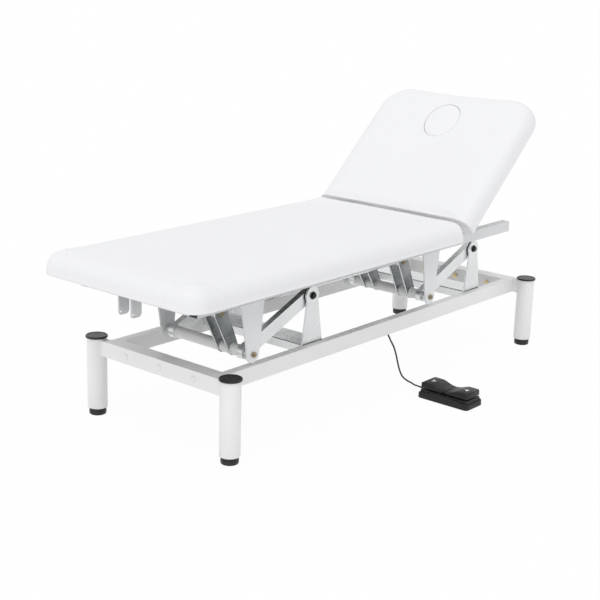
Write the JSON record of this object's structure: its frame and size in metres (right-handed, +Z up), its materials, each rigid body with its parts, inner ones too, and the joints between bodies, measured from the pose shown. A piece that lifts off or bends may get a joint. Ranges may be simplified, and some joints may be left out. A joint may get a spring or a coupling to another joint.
{
  "type": "electric massage table",
  "caption": "Height-adjustable massage table on a tubular base with parallel lift arms, a tilting backrest with a face plug, and a corded foot switch.",
  "frame": {"origin": "on the floor, under the middle of the box round the table and its foot switch", "axes": "+X along the table to the head end, +Y across it away from the foot switch, +Z up"},
  "size_m": [1.7612, 0.8536, 0.8866],
  "materials": {
    "white_coat": "white satin powder coat",
    "silver_coat": "silver-grey satin powder coat",
    "grey_steel": "grey cast housing",
    "zinc": "yellow zinc-plated steel",
    "bright_steel": "bright ground rod",
    "black_steel": "black painted tube",
    "black_plastic": "fine-grained black moulding",
    "cord_jacket": "black PVC cord",
    "upholstery": "white synthetic leather, fine grain",
    "plywood": "raw plywood"
  },
  "bodies": {
    "base": {"main_frame": "white_coat", "leg_frame_foot": "white_coat", "leg_frame_head": "white_coat", "leg_cap_foot_near": "black_plastic", "leg_cap_foot_far": "black_plastic", "leg_cap_head_near": "black_plastic", "leg_cap_head_far": "black_plastic", "frame_bolt_foot_1": "zinc", "frame_bolt_foot_2": "zinc", "frame_bolt_foot_3": "zinc", "frame_bolt_head_1": "zinc", "frame_bolt_head_2": "zinc", "frame_bolt_head_3": "zinc", "lift_bracket_foot": "silver_coat", "lift_bracket_head": "silver_coat", "arm_bolt_foot_near": "black_plastic", "arm_bolt_foot_far": "black_plastic", "arm_bolt_head_near": "black_plastic", "arm_bolt_head_far": "black_plastic", "control_box": "black_plastic", "mains_inlet": "black_plastic", "box_gland": "black_plastic", "cord_clip_1": "black_plastic", "cord_clip_2": "black_plastic", "switch_cord": "cord_jacket", "switch_gland": "black_plastic", "switch_housing": "black_plastic"},
    "foot_near_1": {"levelling_foot_foot_near": "black_plastic"},
    "foot_far_1": {"levelling_foot_foot_far": "black_plastic"},
    "foot_near_2": {"levelling_foot_head_near": "black_plastic"},
    "foot_far_2": {"levelling_foot_head_far": "black_plastic"},
    "arms_foot": {"arm_set_foot": "silver_coat", "hanger_bolt_foot_near": "zinc", "hanger_bolt_foot_far": "zinc", "link_pin_foot": "zinc"},
    "arms_head": {"arm_set_head": "silver_coat", "hanger_bolt_head_near": "zinc", "hanger_bolt_head_far": "zinc", "link_pin_head": "zinc"},
    "tie": {"tie_link": "silver_coat"},
    "top": {"upper_frame": "white_coat", "seat_board": "plywood", "seat_pad": "upholstery", "actuator_tail_pin": "zinc"},
    "actuator_body": {"actuator_gearbox": "grey_steel", "actuator_motor": "grey_steel", "actuator_tube": "silver_coat"},
    "actuator_spindle": {"actuator_rod": "bright_steel", "drive_pin": "zinc"},
    "backrest": {"backrest_frame": "white_coat", "backrest_board": "plywood", "backrest_pad": "upholstery", "hinge_pin_near": "zinc", "hinge_pin_far": "zinc"},
    "plug": {"face_plug": "upholstery"},
    "gas_cylinder": {"gas_spring_cylinder": "black_steel"},
    "gas_rod": {"gas_spring_rod": "bright_steel"},
    "tread_near": {"switch_tread_near": "black_plastic"},
    "tread_far": {"switch_tread_far": "black_plastic"}
  },
  "joints": [
    {"name": "lift", "type": "hinge", "parent": "base", "child": "arms_foot", "pos_m": [-0.27565, 0.05375, 0.387], "axis": [0, 1, 0], "range_deg": [0, 68]},
    {"name": "arms_head_turn", "type": "hinge", "parent": "base", "child": "arms_head", "pos_m": [0.58935, 0.05375, 0.387], "axis": [0, 1, 0], "range_deg": [0, 68]},
    {"name": "top_level", "type": "hinge", "parent": "arms_foot", "child": "top", "pos_m": [-0.55231, 0.05375, 0.27099], "axis": [0, 1, 0], "range_deg": [-68, 0]},
    {"name": "tie_level", "type": "hinge", "parent": "arms_foot", "child": "tie", "pos_m": [-0.60539, -0.02225, 0.38746], "axis": [0, 1, 0], "range_deg": [-68, 0]},
    {"name": "actuator_tilt", "type": "hinge", "parent": "top", "child": "actuator_body", "pos_m": [-0.17765, 0.11825, 0.381], "axis": [0, -1, 0], "range_deg": [0, 1]},
    {"name": "actuator_stroke", "type": "slide", "parent": "actuator_body", "child": "actuator_spindle", "axis": [1, 0, -0.0007], "range_m": [0, 0.1437]},
    {"name": "backrest_tilt", "type": "hinge", "parent": "top", "child": "backrest", "pos_m": [0.37035, 0.10425, 0.51], "axis": [0, -1, 0], "range_deg": [-42.1, 17.9]},
    {"name": "gas_cylinder_swing", "type": "hinge", "parent": "top", "child": "gas_cylinder", "pos_m": [0.37135, 0.04425, 0.418], "axis": [0, -1, 0], "range_deg": [-32, 13.7]},
    {"name": "gas_rod_stroke", "type": "slide", "parent": "gas_cylinder", "child": "gas_rod", "axis": [0.7951, 0, 0.6065], "range_m": [-0.0599, 0.0256]},
    {"name": "plug_lift", "type": "slide", "parent": "backrest", "child": "plug", "axis": [-0.6704, 0, 0.742], "range_m": [0, 0.09]},
    {"name": "tread_near_press", "type": "hinge", "parent": "base", "child": "tread_near", "pos_m": [0.14735, -0.34725, 0.031], "axis": [1, 0, 0], "range_deg": [0, 3.2], "stiffness_Nm_per_rad": 3, "springref_deg": -2.86},
    {"name": "tread_far_press", "type": "hinge", "parent": "base", "child": "tread_far", "pos_m": [0.14735, -0.31525, 0.031], "axis": [-1, 0, 0], "range_deg": [0, 3.2], "stiffness_Nm_per_rad": 3, "springref_deg": -2.86},
    {"name": "foot_near_1_screw", "type": "slide", "parent": "base", "child": "foot_near_1", "axis": [0, 0, -1], "range_m": [0, 0.02]},
    {"name": "foot_far_1_screw", "type": "slide", "parent": "base", "child": "foot_far_1", "axis": [0, 0, -1], "range_m": [0, 0.02]},
    {"name": "foot_near_2_screw", "type": "slide", "parent": "base", "child": "foot_near_2", "axis": [0, 0, -1], "range_m": [0, 0.02]},
    {"name": "foot_far_2_screw", "type": "slide", "parent": "base", "child": "foot_far_2", "axis": [0, 0, -1], "range_m": [0, 0.02]}
  ],
  "couplings": [
    {"joint": "arms_head_turn", "follows": "lift", "ratio": 1},
    {"joint": "top_level", "follows": "lift", "ratio": -1},
    {"joint": "tie_level", "follows": "lift", "ratio": -1},
    {"joint": "actuator_tilt", "follows": "lift", "ratio": 0.0141},
    {"joint": "actuator_stroke", "follows": "lift", "m_per_rad": 0.12097},
    {"joint": "gas_cylinder_swing", "follows": "backrest_tilt", "ratio": 0.7569},
    {"joint": "gas_rod_stroke", "follows": "backrest_tilt", "m_per_rad": 0.08132}
  ]
}
